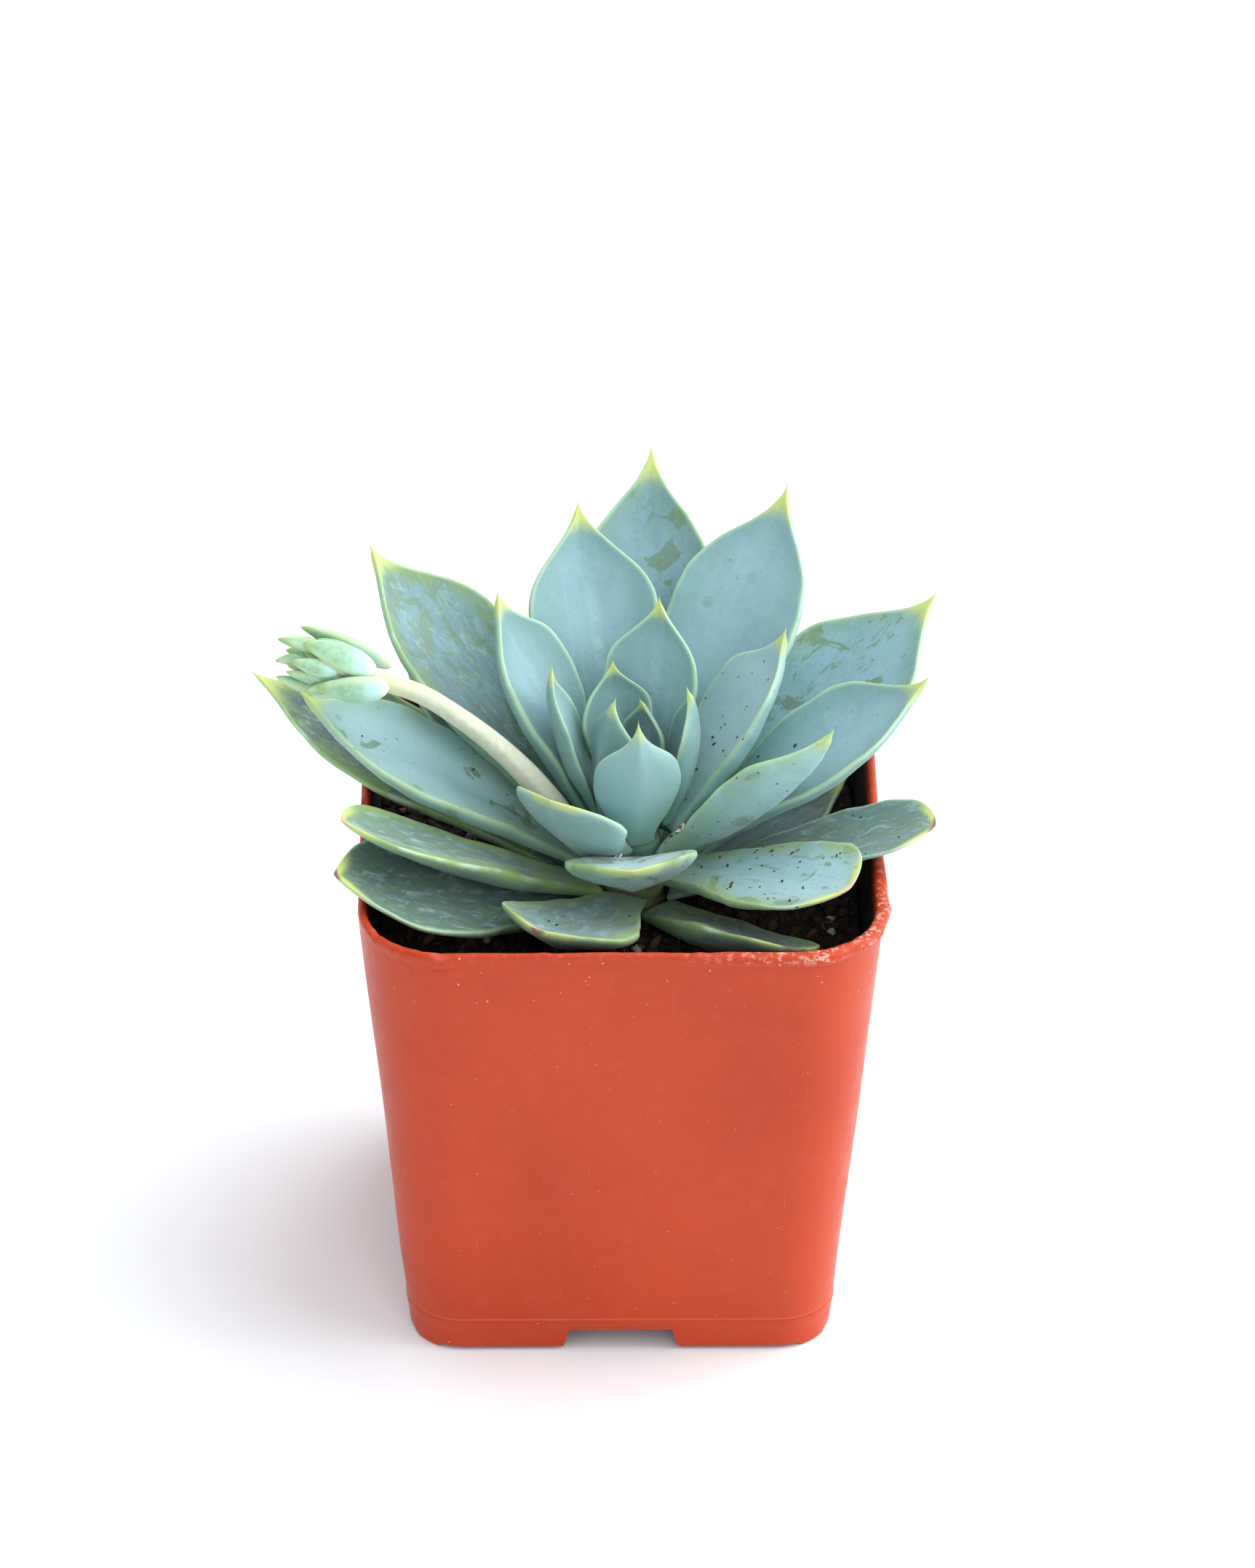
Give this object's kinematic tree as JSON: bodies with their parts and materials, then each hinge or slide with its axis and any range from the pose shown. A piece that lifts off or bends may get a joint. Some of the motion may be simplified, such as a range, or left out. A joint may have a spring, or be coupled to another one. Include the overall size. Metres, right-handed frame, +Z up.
{
  "type": "potted succulent",
  "caption": "Rosette succulent with pointed fleshy leaves and one leaning flower stalk, in a small square tapered plastic nursery pot.",
  "frame": {"origin": "middle of the bounding box, on the ground under the pot's feet", "axes": "+Z up, +X to the plant's right as seen from its front, +Y to its back, so the flower stalk leans towards -X"},
  "size_m": [0.0755, 0.0681, 0.0808],
  "materials": {
    "pot": "terracotta red, satin, lightly scuffed",
    "soil": "dark loose potting mix",
    "stem": "green-brown living stem",
    "leaf": "fleshy, powdery blue-green with pale lime margins",
    "stalk": "fleshy, cream to grey-pink",
    "bract": "fleshy, pale mint green"
  },
  "bodies": {
    "root": {"pot": "pot", "soil": "soil", "stem": "stem", "leaf_back": "leaf", "leaf_back_inner": "leaf", "leaf_back_left": "leaf", "leaf_back_left_inner": "leaf", "leaf_back_left_low": "leaf", "leaf_back_right": "leaf", "leaf_front_left_stub": "leaf", "leaf_front_stub": "leaf", "leaf_heart_back": "leaf", "leaf_heart_left": "leaf", "leaf_heart_right": "leaf", "leaf_inner_back": "leaf", "leaf_inner_front": "leaf", "leaf_inner_left": "leaf", "leaf_inner_right": "leaf", "leaf_left_far": "leaf", "leaf_left_long": "leaf", "leaf_left_low": "leaf", "leaf_left_short": "leaf", "leaf_low_front": "leaf", "leaf_low_front_left": "leaf", "leaf_low_front_right": "leaf", "leaf_right": "leaf", "leaf_right_back": "leaf", "leaf_right_blunt": "leaf", "leaf_right_front": "leaf", "leaf_right_inner": "leaf", "leaf_right_low": "leaf", "leaf_under_back": "leaf", "leaf_under_back_left": "leaf", "leaf_under_right": "leaf", "flower_stalk": "stalk", "bract_back": "bract", "bract_behind": "bract", "bract_lower": "bract", "bract_middle": "bract", "bract_middle_low": "bract", "bract_tip": "bract", "bract_tip_back": "bract", "bract_tip_low": "bract", "bract_tip_upper": "bract", "bract_under": "bract", "bract_upper": "bract"}
  },
  "joints": []
}
